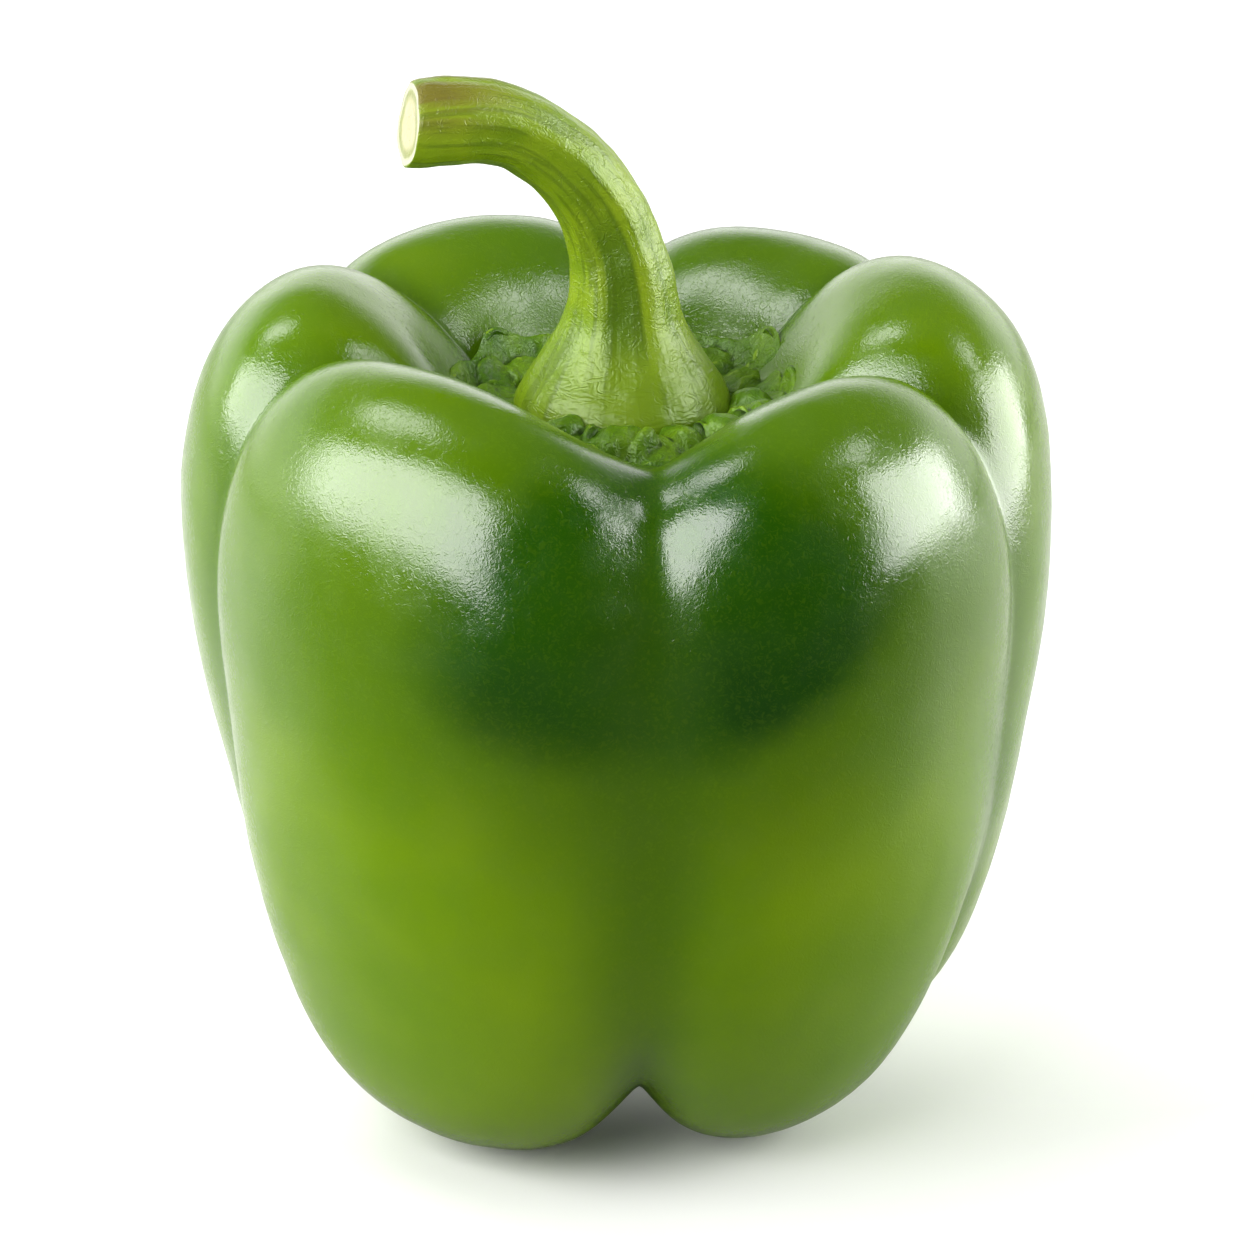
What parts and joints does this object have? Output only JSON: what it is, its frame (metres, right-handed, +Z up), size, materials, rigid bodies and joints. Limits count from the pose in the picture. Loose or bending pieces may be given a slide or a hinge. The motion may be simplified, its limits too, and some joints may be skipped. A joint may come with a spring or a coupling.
{
  "type": "green bell pepper",
  "caption": "Blocky green bell pepper with deep valleys between its lobes, a sunken calyx and a hooked, cut stem, standing on its base.",
  "frame": {"origin": "middle of the whole pepper's box, on the surface that it stands on", "axes": "+Z up from the base to the stem, -Y the side where the two front lobes meet, -X the way the stem hooks over"},
  "size_m": [0.0862, 0.0826, 0.1072],
  "materials": {
    "fruit_skin": "glossy waxy green skin",
    "calyx_skin": "wrinkled dark green, half matt",
    "stem_skin": "ribbed yellow-green, half matt, with a pale cut end"
  },
  "bodies": {
    "root": {"fruit": "fruit_skin", "calyx": "calyx_skin", "stem": "stem_skin"}
  },
  "joints": []
}
